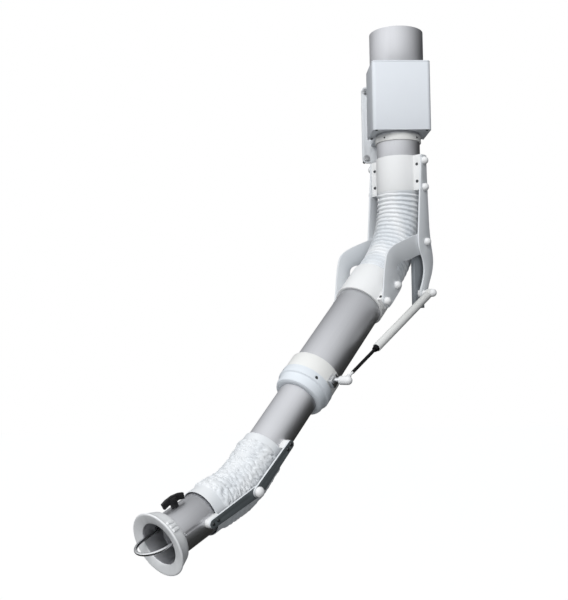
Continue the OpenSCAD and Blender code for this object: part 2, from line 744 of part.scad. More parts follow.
module upper_hose() color("snow") arm_frame() at_elbow() rotate([180, 0, 0])
    bent_hose(head_hose_before, head_hose_after, head_hose_tangent, 90 - upper_dip,
        head_hose_before - head_sleeve_rise + cuff_show, head_hose_after - arm_sleeve_from + cuff_show,
        head_hose_ribs,
        head_hose_cuff_r, head_hose_cuff_r, head_hose_crest, head_hose_valley, 0);
module lower_hose() color("snow") tube_frame() translate([0, 0, bend_len]) rotate([0, 0, 180])
    bent_hose(arm_hose_before, arm_hose_after, arm_hose_tangent, link_bend,
        inner_to - block_to, arm_hose_after - nozzle_from, arm_hose_ribs,
        arm_hose_cuff_r, arm_hose_cuff_r, arm_hose_crest, arm_hose_valley, arm_hose_sag);

// Forearm
arm_sleeve_r = arm_sleeve_d / 2;
module at_arm_bolts() for (along = arm_bolts) translate([0, 0, along]) children();
module arm_plate() difference() {
    upright(arm_plate_b, plate_t) rotate(90)
        polygon(smooth(arm_plate_len * arm_plate_shares, smooth_steps));
    bar_y(pivot_d / 2 + snug, arm_plate_b - eps, arm_plate_b + plate_t + eps);
    at_arm_bolts() bar_y(bolt_d / 2 + snug, arm_plate_b - eps, arm_plate_b + plate_t + eps);
}
module lower_plate_right() color("lightgray") tube_frame() arm_plate();
module lower_plate_left() color("lightgray") tube_frame() mirror([0, 1, 0]) arm_plate();
module lower_sleeve() color("whitesmoke") tube_frame()
    pipe(arm_sleeve_r, tube_r + snug, arm_sleeve_from, arm_sleeve_from + arm_sleeve_len);
arm_saddle_in = 3;
arm_saddle_from = arm_sleeve_from + arm_saddle_in;
arm_saddle_len = arm_sleeve_len - 2 * arm_saddle_in;
module at_arm_saddle_screws() both_sides()
    for (along = [saddle_screw_inset, arm_saddle_len - saddle_screw_inset])
        translate([-arm_saddle_over, arm_plate_b - saddle_screw_inset / 2, arm_saddle_from + along])
            rotate([0, -90, 0]) children();
arm_screw_len = 6;
module lower_saddles() color("white") tube_frame() difference() {
    both_sides() translate([-arm_saddle_over, tube_r, arm_saddle_from])
        cube([arm_saddle_over + arm_saddle_under, arm_plate_b - tube_r, arm_saddle_len]);
    translate([0, 0, arm_sleeve_from]) cylinder(r = arm_sleeve_r + snug, h = arm_sleeve_len);
    both_sides() at_arm_bolts() bar_y(bolt_d / 2 + snug, arm_sleeve_r, arm_plate_b + eps);
    at_arm_saddle_screws() translate([0, 0, -arm_screw_len - eps])
        cylinder(r = screw_d / 2 + snug, h = arm_screw_len + 2 * eps);
}
module arm_bolts() color("silver") tube_frame() both_sides() at_arm_bolts() {
    bar_y(bolt_d / 2, arm_sleeve_r + bolt_end_gap / 2, arm_plate_b + plate_t);
    facing_out(arm_plate_b + plate_t) hex_head();
}
module lower_caps() color("white") tube_frame() both_sides() at_arm_bolts()
    facing_out(arm_plate_b + plate_t) domed_cap(cap_d);
module outer_tube() color("silver") tube_frame() pipe(tube_r, tube_in, outer_from, outer_to);
module clamp_ring() color("cornsilk") tube_frame()
    pipe(clamp_d / 2, tube_r + snug, clamp_from, clamp_from + clamp_len);

// Bracket on the clamp ring, with the stud that carries the spring's rod end
lug_shift = 2;
lug_screw_in = 8;
lug_screw_side = 6;
lug_from = spring_low_along - lug_len / 2 + lug_shift;
module at_lug_screws() for (along = [lug_from + lug_screw_in, lug_from + lug_len - lug_screw_in])
    translate([-lug_over, lug_to_b - lug_screw_side, along]) rotate([0, -90, 0]) children();
module spring_lug() color("silver") tube_frame() difference() {
    union() {
        translate([-lug_over, lug_from_b, lug_from])
            cube([lug_over + lug_under, lug_to_b - lug_from_b, lug_len]);
        translate([spring_low_under, 0, spring_low_along])
            bar_y(stud_r, lug_to_b - stud_root, spring_b - rod_eye_back - air_gap);
    }
    translate([0, 0, lug_from - eps]) cylinder(r = clamp_d / 2 + snug, h = lug_len + 2 * eps);
    at_lug_screws() translate([0, 0, -arm_screw_len - eps])
        cylinder(r = screw_d / 2 + snug, h = arm_screw_len + 2 * eps);
}
module lug_screws() color("silver") tube_frame() at_lug_screws() small_screw(arm_screw_len);

guide_bush_r = inner_r + guide_bush_wall;
module at_guide_screws() for (turn = guide_screw_turns) rotate([0, 0, turn])
    translate([guide_d / 2, 0, guide_from + guide_wide / 2]) rotate([0, 90, 0]) children();
module guide_ring() color("aliceblue") tube_frame() difference() {
    rotate_extrude() polygon([[tube_r + snug, guide_from], [guide_d / 2, guide_from],
        [guide_d / 2, guide_from + guide_wide - guide_edge],
        [guide_nose_d / 2 + guide_edge / 2, guide_from + guide_wide],
        [guide_nose_d / 2, guide_to - guide_round],
        [guide_nose_d / 2 - 0.3 * guide_round, guide_to - 0.3 * guide_round],
        [guide_nose_d / 2 - guide_round, guide_to], [inner_r + air_gap, guide_to],
        [inner_r + air_gap, guide_to - guide_lip], [guide_bush_r + snug, guide_to - guide_lip],
        [guide_bush_r + snug, outer_to + face_gap], [tube_r + snug, outer_to + face_gap]]);
    at_guide_screws() {
        translate([0, 0, tube_r - guide_d / 2 - eps])
            cylinder(r = screw_d / 2 + snug, h = guide_d / 2 - tube_r + 2 * eps);
        translate([0, 0, -screw_d / 2 - snug]) cylinder(r = screw_d * 0.9 + snug, h = screw_d);
    }
}
module guide_bush() color("black") tube_frame()
    pipe(guide_bush_r, inner_r + snug, outer_to + 2 * face_gap, guide_to - guide_lip - face_gap);
module arm_screws() color("dimgray") tube_frame() {
    at_arm_saddle_screws() small_screw(arm_screw_len);
    at_guide_screws() translate([0, 0, -screw_d / 2])
        small_screw(guide_d / 2 - tube_r - screw_d / 2 - 2 * snug);
}

// Gas spring
spring_r = spring_d / 2;
spring_in = spring_r - spring_wall;
module spring_cylinder() color("gainsboro") spring_frame() {
    shoulder = spring_eye_r + spring_shoulder_gap;
    bottom = shoulder + spring_end_t;
    difference() {
        union() {
            bar_y(spring_eye_r, -spring_eye_t / 2, spring_eye_t / 2);
            cylinder(r = spring_neck_r, h = shoulder + spring_end_t / 2);
        }
        bar_y(bolt_d / 2 + snug, -spring_eye_t / 2 - eps, spring_eye_t / 2 + eps);
    }
    rotate_extrude() polygon([[0, shoulder], [spring_r, shoulder], [spring_r, spring_len],
        [spring_in, spring_len], [spring_in, bottom], [0, bottom]]);
}
module spring_gland() color("black") spring_frame() {
    pipe(spring_in - snug, rod_d / 2 + snug, spring_len - gland_in, spring_len);
    pipe(spring_r - gland_step, rod_d / 2 + snug, spring_len, spring_len + gland_h);
}
module spring_rod() color("black") spring_frame() {
    translate([0, 0, piston_at]) cylinder(r = spring_in - snug, h = piston_h);
    translate([0, 0, piston_at]) cylinder(d = rod_d, h = spring_span - rod_neck_len - thread_len - piston_at);
}
// Threaded stem and long eye; the eye stops short of the lug's stud
module rod_end() color("white") spring_frame() translate([0, 0, spring_span]) {
    translate([0, 0, -rod_neck_len - thread_len]) cylinder(d = rod_d * 0.75, h = thread_len + rod_neck_len);
    translate([0, 0, -rod_neck_len]) cylinder(r = rod_neck_r, h = rod_neck_len);
    bar_y(rod_eye_r, -rod_eye_back, rod_eye_front);
    translate([0, rod_eye_front, 0]) intersection() {
        sphere(rod_eye_r);
        bar_y(rod_eye_r, -eps, rod_eye_r);
    }
}

// Telescope
wear_from = inner_from + bead_t + face_gap;
module wear_ring() color("ivory") tube_frame()
    pipe(tube_in - snug, inner_r + snug, wear_from, wear_from + wear_ring_len);
module inner_tube() color("silver") tube_frame() {
    pipe(inner_r, inner_in, inner_from, inner_to);
    pipe(inner_r + bead_h, inner_in, inner_from, inner_from + bead_t);
    pipe(inner_r + bead_h, inner_in, wear_from + wear_ring_len + face_gap,
        wear_from + wear_ring_len + face_gap + bead_t);
}

// Lower joint
// The end of a link: its round centre, and the screws from there inwards
module at_link_screws(end, step) for (inset = [0, link_screw_gap])
    translate([link_under, 0, end + step * (link_w / 2 + inset)]) children();
module link_end(end, step, length) {
    translate([link_under, end + step * link_w / 2]) circle(link_w / 2);
    translate([link_under - link_w / 2, min(end + step * link_w / 2, end + step * length)])
        square([link_w, length - link_w / 2]);
}
module link_block(end, step, length, out_b) both_sides() difference() {
    upright(inner_in - block_depth, out_b - inner_in + block_depth) link_end(end, step, length);
    translate([0, 0, end - inner_d]) cylinder(r = inner_r + snug, h = 2 * inner_d);
    at_link_screws(end, step) bar_y(screw_d / 2 + snug, inner_in, out_b + eps);
}
// A strap between two round ends, its sides just inside their common tangents
module strap(from, from_r, to, to_r) {
    run = to - from;
    lean = atan2(run[1], run[0]);
    turn = acos((from_r - to_r) / norm(run));
    translate(from) circle(from_r);
    translate(to) circle(to_r);
    polygon([for (s = [[from, from_r, turn], [from, from_r, -turn], [to, to_r, -turn], [to, to_r, turn]])
        s[0] + (s[1] - strap_inset) * [cos(lean + s[2]), sin(lean + s[2])]]);
}
module link_strap(end, step, pivot, b) both_sides() difference() {
    upright(b, link_t) strap([link_under, end + step * link_w / 2], link_w / 2, pivot, link_eye_r);
    at_link_screws(end, step) bar_y(screw_d / 2 + snug, b - eps, b + link_t + eps);
    translate([pivot[0], 0, pivot[1]]) bar_y(link_pin_d / 2 + snug, b - eps, b + link_t + eps);
}
module upper_link_blocks() color("white") tube_frame()
    link_block(link_end_along, 1, link_block_len, link_out_b);
module upper_links() color("dimgray") tube_frame()
    link_strap(link_end_along, 1, arm_pivot, link_out_b);
link_shank = 12;
module upper_link_screws() color("dimgray") tube_frame() both_sides() at_link_screws(link_end_along, 1)
    facing_out(link_out_b + link_t) small_screw(link_shank);
pin_head_t = 2;
module at_link_pivots() both_sides() translate([pivot_under, 0, pivot_along]) children();
module link_pins() color("silver") tube_frame() at_link_pivots() {
    bar_y(link_pin_d / 2, link_b - pin_head_t - face_gap, link_out_b + link_t);
    bar_y(link_pin_d * 0.75, link_b - pin_head_t - face_gap, link_b - face_gap);
    facing_out(link_out_b + link_t) hex_head();
}
module link_caps() color("white") tube_frame() at_link_pivots()
    facing_out(link_out_b + link_t) domed_cap(link_cap_d);

// Nozzle
module lower_link_blocks() color("white") nozzle_frame()
    link_block(link_end_after, -1, low_block_len, link_b - face_gap / 2);
module lower_links() color("dimgray") nozzle_frame()
    link_strap(link_end_after, -1, nozzle_pivot, link_b - face_gap / 2);
module at_handle_screws() both_sides() rotate([0, 0, handle_turn])
    translate([0, 0, handle_from - handle_screw_in]) children();
module nozzle_screws() color("dimgray") nozzle_frame() {
    both_sides() at_link_screws(link_end_after, -1)
        facing_out(link_out_b - face_gap / 2) mirror([0, 0, 1]) cylinder(d = screw_d, h = link_shank);
    at_handle_screws() facing_out(inner_r + snug) small_screw(tube_wall + 2 * snug);
}
module nozzle_tube() color("silver") nozzle_frame() difference() {
    pipe(inner_r, inner_in, nozzle_from, nozzle_to);
    both_sides() translate([0, 0, damper_at]) rotate([0, 0, damper_turn]) rotate([0, 90, 0])
        cylinder(d = shaft_d + 2 * snug, h = inner_d, center = true);
    at_handle_screws() bar_y(screw_d / 2 + snug, inner_in - eps, inner_r + eps);
}
hood_r = hood_d / 2;
hood_back_r = hood_back_d / 2;
module hood_ring() color("white") nozzle_frame() {
    rotate_extrude() polygon([[inner_r + snug, hood_from], [hood_back_r - hood_edge, hood_from],
        [hood_back_r, hood_from + hood_edge], [hood_r - hood_edge, hood_to - 2 * hood_lip],
        [hood_r, hood_to - hood_lip], [hood_r - 0.28 * hood_lip, hood_to - 0.28 * hood_lip],
        [hood_r - hood_lip, hood_to], [hood_r - 1.6 * hood_lip, hood_to - 0.12 * hood_lip],
        [inner_r + snug, hood_to - hood_flare]]);
    for (group = [0 : hood_grip_groups - 1], k = [-1 : 1])
        rotate([0, 0, 180 - hood_grip_turn - group * 360 / hood_grip_groups
                + k * hood_step_turn - hood_grip_shift])
            rotate_extrude(angle = hood_grip_w) polygon([
                [hood_back_r - hood_edge / 2, hood_from + grip_in],
                [hood_back_r + hood_grip_h, hood_from + grip_in + hood_edge / 2],
                [hood_r - grip_in + hood_grip_h, hood_to - grip_end],
                [hood_r - hood_grip_h - hood_edge, hood_to - grip_end + hood_edge]]);
}
handle_r = handle_rod_d / 2;
handle_in = inner_in - air_gap - handle_r;
handle_b = handle_in * cos(handle_turn);
handle_up = handle_in * sin(handle_turn);
module handle_loop() color("silver") nozzle_frame() {
    translate([-handle_up, 0, 0]) {
        translate([0, 0, handle_bow_from]) rotate([0, 90, 0]) rotate([0, 0, 90])
            rotate_extrude(angle = 180) translate([handle_b, 0]) circle(handle_r);
        both_sides() translate([0, handle_b, handle_from - handle_pad_len])
            cylinder(r = handle_r, h = handle_bow_from - handle_from + handle_pad_len);
    }
    both_sides() rotate([0, 0, handle_turn]) intersection() {
        translate([-handle_pad_w / 2, handle_in, handle_from - handle_pad_len])
            cube([handle_pad_w, handle_pad_w, handle_pad_len]);
        cylinder(r = inner_in - snug, h = handle_from);
    }
}
blade_r = inner_in - blade_gap;
module damper_blade() color("silver") damper_frame()
    rotate([90, 0, 0]) cylinder(r = blade_r, h = blade_t, center = true);
module damper_shaft() color("silver") damper_frame() difference() {
    translate([0, 0, -inner_r - shaft_past]) cylinder(d = shaft_d,
        h = shaft_past + 2 * inner_r + knob_gap + knob_hub_h - knob_roof - face_gap);
    translate([-shaft_d, -blade_t / 2 - snug, -blade_r - snug])
        cube([2 * shaft_d, blade_t + 2 * snug, 2 * (blade_r + snug)]);
}
module damper_knob() color("black") damper_frame() translate([0, 0, inner_r + knob_gap]) difference() {
    union() {
        cylinder(r = knob_hub_r, h = knob_hub_h);
        translate([0, knob_wing_t / 2, 0]) rotate([90, 0, 0]) linear_extrude(knob_wing_t)
            polygon([for (p = knob_wing_shares) [p[0] * knob_wing_len, p[1] * knob_wing_h + knob_wing_from]]);
    }
    translate([0, 0, -eps]) cylinder(d = shaft_d + 2 * snug, h = knob_hub_h - knob_roof + eps);
}
// Outline of the knob's wing: along and above, as shares of its length and height
knob_wing_shares = [[-0.46, 0.05], [-0.25, 0.22], [0.25, 0.22], [0.46, 0.05], [0.5, 0.7],
    [0.3, 0.9], [0, 1], [-0.3, 0.9], [-0.5, 0.7]];

wall_plate();
wall_bolts();
console();
box_cover();
top_panel();
bottom_panel();
panel_screws();
top_spigot();
reducer();
swivel_housing();
swivel_bush();
down_tube();
stop_ring();
swivel_collar();
head_screws();
upper_sleeve();
upper_saddles();
upper_plate_right();
upper_plate_left();
support_bars();
bolt_spacers();
head_bolts();
pivot_bolts();
pivot_washers();
upper_caps();
upper_hose();
lower_plate_right();
lower_plate_left();
lower_sleeve();
lower_saddles();
arm_bolts();
lower_caps();
arm_screws();
outer_tube();
clamp_ring();
spring_lug();
lug_screws();
guide_ring();
guide_bush();
spring_cylinder();
spring_gland();
spring_rod();
rod_end();
wear_ring();
inner_tube();
upper_link_blocks();
upper_links();
upper_link_screws();
link_pins();
link_caps();
lower_hose();
nozzle_tube();
lower_link_blocks();
lower_links();
nozzle_screws();
hood_ring();
handle_loop();
damper_blade();
damper_shaft();
damper_knob();
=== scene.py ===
import math

import bmesh
import bpy
from mathutils import Matrix, Vector


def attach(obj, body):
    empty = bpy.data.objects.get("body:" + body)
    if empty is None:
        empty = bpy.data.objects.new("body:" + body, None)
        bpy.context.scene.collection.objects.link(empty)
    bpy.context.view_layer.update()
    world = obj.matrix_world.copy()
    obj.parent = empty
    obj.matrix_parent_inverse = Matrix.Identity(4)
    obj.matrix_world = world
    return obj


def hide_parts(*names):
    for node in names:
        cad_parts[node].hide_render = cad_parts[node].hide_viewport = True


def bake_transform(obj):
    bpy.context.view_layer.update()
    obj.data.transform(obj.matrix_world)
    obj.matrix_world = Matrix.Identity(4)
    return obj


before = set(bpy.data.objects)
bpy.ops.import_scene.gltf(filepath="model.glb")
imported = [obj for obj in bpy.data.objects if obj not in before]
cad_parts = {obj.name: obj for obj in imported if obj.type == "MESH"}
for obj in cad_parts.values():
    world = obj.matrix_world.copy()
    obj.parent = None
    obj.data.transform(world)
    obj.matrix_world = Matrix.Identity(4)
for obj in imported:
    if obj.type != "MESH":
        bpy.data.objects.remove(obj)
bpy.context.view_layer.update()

# Camera
# The photo looks at the arm from the room, slightly from below, so that the housing's underside and the
# nozzle's mouth both show.
camera = bpy.data.objects.new("camera", bpy.data.cameras.new("camera"))
bpy.context.scene.collection.objects.link(camera)
camera.matrix_world = Matrix((
    (0.999262, 0.011979, -0.036483, -0.34897),
    (-0.035718, -0.058846, -0.997628, -2.20301),
    (-0.014098, 0.998195, -0.058374, -0.55725),
    (0, 0, 0, 1)))
camera.data.sensor_fit = "HORIZONTAL"
camera.data.sensor_width = 36
camera.data.lens = 57.63
bpy.context.scene.camera = camera

# Wall plate, console and wall bolts
# A thick steel plate on the wall with a folded steel console welded to it, both powder coated. Four plated
# bolts hold the plate to the wall.
MM = 0.001


class Value:
    """A node's output that Python's operators work on. Each operator adds its Math node."""

    def __init__(self, tree, socket):
        self.tree, self.socket = tree, socket

    def math(self, operation, *others):
        node = self.tree.nodes.new("ShaderNodeMath")
        node.operation = operation
        for slot, value in zip(node.inputs, (self, *others)):
            feed(self.tree, slot, value)
        return Value(self.tree, node.outputs[0])

    def __add__(self, other):
        return self.math("ADD", other)

    def __sub__(self, other):
        return self.math("SUBTRACT", other)

    def __rsub__(self, other):
        return self.math("MULTIPLY_ADD", -1.0, other)

    def __mul__(self, other):
        return self.math("MULTIPLY", other)

    def __truediv__(self, other):
        return self.math("DIVIDE", other)

    def limited(self):
        return self.math("MAXIMUM", 0.0).math("MINIMUM", 1.0)

    __radd__, __rmul__ = __add__, __mul__


def feed(tree, slot, value):
    if isinstance(value, Value):
        tree.links.new(value.socket, slot)
    else:
        slot.default_value = value


class Nodes:
    """A node tree that nodes are added to by type, settings and the values or links of their sockets."""

    def __init__(self, tree):
        self.tree = tree

    def add(self, kind, settings=None, values=None, out=0):
        node = self.tree.nodes.new(kind)
        for name, setting in (settings or {}).items():
            setattr(node, name, setting)
        for slot, value in (values or {}).items():
            feed(self.tree, node.inputs[slot], value)
        return Value(self.tree, node.outputs[out])

    def noise(self, where, scale, detail=2.0, rough=0.5):
        return self.add("ShaderNodeTexNoise", {}, {"Vector": where, "Scale": scale, "Detail": detail,
                                                   "Roughness": rough})

    def blend(self, factor, first, second):
        return self.add("ShaderNodeMix", {"data_type": "RGBA"},
                        {0: factor, 6: (*first, 1), 7: (*second, 1)}, 2)


class Finish(Nodes):
    """A material with its Principled shader; plain numbers go on the shader's own sockets."""

    def __init__(self, name, **plain):
        self.material = bpy.data.materials.new(name)
        self.material.use_nodes = True
        super().__init__(self.material.node_tree)
        self.shader = self.tree.nodes["Principled BSDF"]
        for socket, value in plain.items():
            self.set(socket.replace("_", " "), value)
        self.place = self.add("ShaderNodeTexCoord", out=3)

    def set(self, socket, value):
        feed(self.tree, self.shader.inputs[socket], value)

    def bump(self, height, depth, strength=0.5):
        self.set("Normal", self.add("ShaderNodeBump", {}, {"Height": height, "Distance": depth,
                                                           "Strength": strength}))


def powder_coat(name, colour, rough=0.42):
    """Baked powder: an orange-peel skin, faint drift of the colour, and light handling marks."""
    paint = Finish(name, Roughness=rough)
    drift = paint.noise(paint.place, 9, 3)
    marks = ((paint.noise(paint.place, 55, 6, 0.7) - 0.6) * 6).limited()
    darker = [c * 0.93 for c in colour]
    paint.set("Base Color", paint.blend(drift * 0.6 + marks * 0.25, colour, darker))
    paint.set("Roughness", drift * 0.1 + marks * 0.12 + (rough - 0.05))
    paint.bump(paint.noise(paint.place, 700, 1), 0.00006, 0.35)
    return paint.material


def moulded(name, colour, rough=0.45, grain=900, bump=0.00003):
    """Injection-moulded plastic: a fine spark-eroded grain and slight flow marks."""
    plastic = Finish(name, Roughness=rough)
    flow = plastic.noise(plastic.place, 14, 4)
    plastic.set("Base Color", plastic.blend(flow * 0.5, colour, [c * 0.94 for c in colour]))
    plastic.set("Roughness", flow * 0.12 + (rough - 0.06))
    plastic.bump(plastic.noise(plastic.place, grain, 2), bump, 0.4)
    return plastic.material


def plated(name, colour, rough=0.28):
    """Plated or polished steel with fine scratches in every direction and a duller film in places."""
    metal = Finish(name, Metallic=1.0)
    film = metal.noise(metal.place, 60, 4)
    scratch = metal.noise(metal.place, 1500, 3, 0.7)
    metal.set("Base Color", metal.blend(film * 0.6, colour, [c * 0.82 for c in colour]))
    metal.set("Roughness", film * 0.16 + scratch * 0.08 + (rough - 0.1))
    metal.bump(scratch, 0.00002, 0.3)
    return metal.material


WELD = 2e-6
FLAT_ANGLE = math.radians(0.4)
EDGE_ANGLE = math.radians(38)
SHADE_ANGLE = math.radians(30)
FACING = 0.9


def eased(node, body, material, ease=0.5, second=None, along=None):
    """A copy of a CAD node whose edges are broken and whose curves shade smoothly, in the node's place.
    Faces that look along the direction get the second material."""
    shape = bmesh.new()
    shape.from_mesh(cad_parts[node].data)
    bmesh.ops.remove_doubles(shape, verts=shape.verts, dist=WELD)
    bmesh.ops.dissolve_degenerate(shape, edges=shape.edges, dist=WELD)
    bmesh.ops.dissolve_limit(shape, angle_limit=FLAT_ANGLE, verts=shape.verts, edges=shape.edges)
    sharp = [e for e in shape.edges if e.is_manifold and e.calc_face_angle() > EDGE_ANGLE]
    if ease and sharp:
        bmesh.ops.bevel(shape, geom=sharp, offset=ease * MM, segments=2, profile=0.5, affect="EDGES",
                        clamp_overlap=True)
    bmesh.ops.triangulate(shape, faces=[f for f in shape.faces if len(f.verts) > 4])
    for face in shape.faces:
        face.smooth = True
        if second and abs(face.normal.dot(along)) > FACING:
            face.material_index = 1
    mesh = bpy.data.meshes.new(node + "_finished")
    shape.to_mesh(mesh)
    shape.free()
    mesh.set_sharp_from_angle(angle=SHADE_ANGLE)
    mesh.materials.append(material)
    if second:
        mesh.materials.append(second)
    piece = bpy.data.objects.new(node + "_finished", mesh)
    bpy.context.scene.collection.objects.link(piece)
    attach(piece, body)
    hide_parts(node)


def painted(node, material):
    """A CAD node that keeps its shape and gets its finish."""
    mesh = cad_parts[node].data
    mesh.materials.clear()
    mesh.materials.append(material)


plate_coat = powder_coat("plate_coat", (0.78, 0.80, 0.82))
bolt_plating = plated("bolt_plating", (0.72, 0.73, 0.74))
eased("wall_plate", "bracket", plate_coat, 0.8)
eased("console", "bracket", plate_coat, 0.3)
painted("wall_bolts", bolt_plating)

# Housing cover and panels
# A folded sheet cover with rounded upright edges and flat panels above and below, coated a cool pale grey
# and held by small dark screws at the corners.
cover_coat = powder_coat("cover_coat", (0.80, 0.83, 0.87), 0.36)
eased("box_cover", "bracket", cover_coat, 0.6)
eased("top_panel", "bracket", cover_coat, 0.8)
eased("bottom_panel", "bracket", cover_coat, 0.4)
screw_black = plated("screw_black", (0.12, 0.125, 0.13), 0.36)
screw_zinc = plated("screw_zinc", (0.75, 0.76, 0.77), 0.24)


def screw_tree():
    """Geometry nodes: one socket screw on every point, its head along the point's facing direction."""
    tree = bpy.data.node_groups.new("socket_screws", "GeometryNodeTree")
    face = tree.interface
    face.new_socket("Geometry", in_out="INPUT", socket_type="NodeSocketGeometry")
    for name in ("Head Radius", "Head Height", "Shank Radius", "Shank Length"):
        face.new_socket(name, in_out="INPUT", socket_type="NodeSocketFloat")
    face.new_socket("Material", in_out="INPUT", socket_type="NodeSocketMaterial")
    face.new_socket("Geometry", in_out="OUTPUT", socket_type="NodeSocketGeometry")
    nodes = Nodes(tree)
    given = tree.nodes.new("NodeGroupInput")
    points, radius, height, shank_r, shank_len, material = (Value(tree, s) for s in given.outputs[:6])

    def raised(shape, by):
        up = nodes.add("ShaderNodeCombineXYZ", {}, {"Z": by})
        return nodes.add("GeometryNodeTransform", {}, {"Geometry": shape, "Translation": up})

    head = nodes.add("GeometryNodeMeshCone", {}, {"Vertices": 24, "Radius Top": radius * 0.72,
                                                  "Radius Bottom": radius, "Depth": height})
    socket = nodes.add("GeometryNodeMeshCylinder", {}, {"Vertices": 6, "Radius": radius * 0.45,
                                                        "Depth": height})
    cut = nodes.add("GeometryNodeMeshBoolean", {"operation": "DIFFERENCE"},
                    {"Mesh 1": head, "Mesh 2": raised(socket, height * 0.8)})
    shank = nodes.add("GeometryNodeMeshCylinder", {}, {"Vertices": 16, "Radius": shank_r, "Depth": shank_len})
    joined = tree.nodes.new("GeometryNodeJoinGeometry")
    for part in (cut, raised(shank, shank_len * -0.5)):
        tree.links.new(part.socket, joined.inputs[0])
    facing = nodes.add("GeometryNodeInputNamedAttribute", {"data_type": "FLOAT_VECTOR"}, {"Name": "facing"})
    turn = nodes.add("FunctionNodeAlignRotationToVector", {"axis": "Z"}, {"Vector": facing})
    placed = nodes.add("GeometryNodeInstanceOnPoints", {}, {
        "Points": points, "Instance": Value(tree, joined.outputs[0]), "Rotation": turn})
    solid = nodes.add("GeometryNodeRealizeInstances", {}, {"Geometry": placed})
    dressed = nodes.add("GeometryNodeSetMaterial", {}, {"Geometry": solid, "Material": material})
    tree.links.new(dressed.socket, tree.nodes.new("NodeGroupOutput").inputs[0])
    return tree


def grown(name, mesh, tree, inputs):
    """The plain mesh that a geometry node tree makes from a starting mesh."""
    start = bpy.data.objects.new(name + "_start", mesh)
    bpy.context.scene.collection.objects.link(start)
    modifier = start.modifiers.new("grow", "NODES")
    modifier.node_group = tree
    ids = {s.name: s.identifier for s in tree.interface.items_tree if s.in_out == "INPUT"}
    for socket, value in inputs.items():
        modifier[ids[socket]] = value
    made = bpy.data.meshes.new_from_object(start.evaluated_get(bpy.context.evaluated_depsgraph_get()))
    bpy.data.objects.remove(start)
    piece = bpy.data.objects.new(name, made)
    bpy.context.scene.collection.objects.link(piece)
    return piece


SCREWS = screw_tree()
SCREW_R = 3.6 * MM
SHANK_R = 1.9 * MM


def screws(name, body, node, places, material, radius=SCREW_R, height=2.0, shank=4.0):
    """Socket screws at (point, facing) places, in the place of a CAD node."""
    mesh = bpy.data.meshes.new(name + "_points")
    mesh.from_pydata([p for p, _ in places], [], [])
    attribute = mesh.attributes.new("facing", "FLOAT_VECTOR", "POINT")
    attribute.data.foreach_set("vector", [c for _, facing in places for c in facing])
    piece = grown(name, mesh, SCREWS, {
        "Head Radius": radius, "Head Height": height * MM, "Shank Radius": SHANK_R,
        "Shank Length": shank * MM, "Material": material})
    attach(piece, body)
    if node:
        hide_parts(node)


top_corners = [(-58, -167, 106), (58, -167, 106), (-61, -77.5, 106), (61, -77.5, 106)]
low_corners = [(-58, -167, -52.5), (58, -167, -52.5), (-58, -81, -52.5), (58, -81, -52.5)]
screws("panel_socket_screws", "bracket", "panel_screws",
       [(Vector(c) * MM, (0, 0, side)) for side, four in ((1, top_corners), (-1, low_corners)) for c in four],
       screw_black)

# Duct spigot and reducer
# A plain anodised aluminium tube on top, where the building's duct is clamped, and a spun cone inside the
# housing that brings it down to the swivelling tube.


def anodised(name, axis, colour=(0.74, 0.745, 0.765), rough=0.46):
    """Extruded tube, satin anodised: fine die lines along the tube, soft grey drift and rare scuffs."""
    metal = Finish(name, Metallic=1.0)
    spin = Vector((0, 0, 1)).rotation_difference(Vector(axis)).to_matrix().inverted().to_euler()
    lined = metal.add("ShaderNodeMapping", {}, {"Vector": metal.place, "Rotation": spin})
    drawn = metal.add("ShaderNodeMapping", {}, {"Vector": lined, "Scale": (420, 420, 7)})
    lines = metal.noise(drawn, 1, 3, 0.6)
    drift = metal.noise(metal.place, 6, 3)
    scuffs = ((metal.noise(metal.place, 40, 6, 0.75) - 0.64) * 8).limited()
    metal.set("Base Color", metal.blend(drift * 0.5 + lines * 0.3, colour, [c * 0.88 for c in colour]))
    metal.set("Roughness", lines * 0.14 + drift * 0.08 + scuffs * 0.12 + (rough - 0.1))
    metal.bump(lines, 0.00003, 0.4)
    return metal.material


upright_tube = anodised("upright_tube", (0, 0, 1))
eased("top_spigot", "bracket", upright_tube, 0.3)
painted("reducer", upright_tube)

# Swivel bearing
# A cast housing on the console carries a plastic bush, and a ring on the tube rests on it. Only the cream
# collar below the box shows, held to the tube by four set screws.
painted("swivel_housing", plated("cast_grey", (0.5, 0.51, 0.52), 0.5))
bearing_plastic = moulded("bearing_plastic", (0.84, 0.82, 0.74), 0.5)
painted("swivel_bush", bearing_plastic)
painted("stop_ring", screw_black)
cream_plastic = moulded("cream_plastic", (0.87, 0.865, 0.84))
eased("swivel_collar", "swivel_head", cream_plastic, 0.5)

# Down tube, upper sleeve and saddles
# The swivelling tube hangs in the collar. A plastic sleeve holds it to the hose, and two saddle blocks on
# the sleeve carry the elbow plates; dark screws close the saddles.
TURN = math.radians(45)
OUT = Vector((-math.sin(TURN), -math.cos(TURN), 0))
RIGHT = Vector((math.cos(TURN), -math.sin(TURN), 0))
UP = Vector((0, 0, 1))
DUCT_AXIS = Vector((0, -0.11, 0))


def head_at(out, right, up):
    """A point of the swivel head: out along the arm, to its right, and up, in millimetres."""
    return DUCT_AXIS + (OUT * out + RIGHT * right + UP * up) * MM


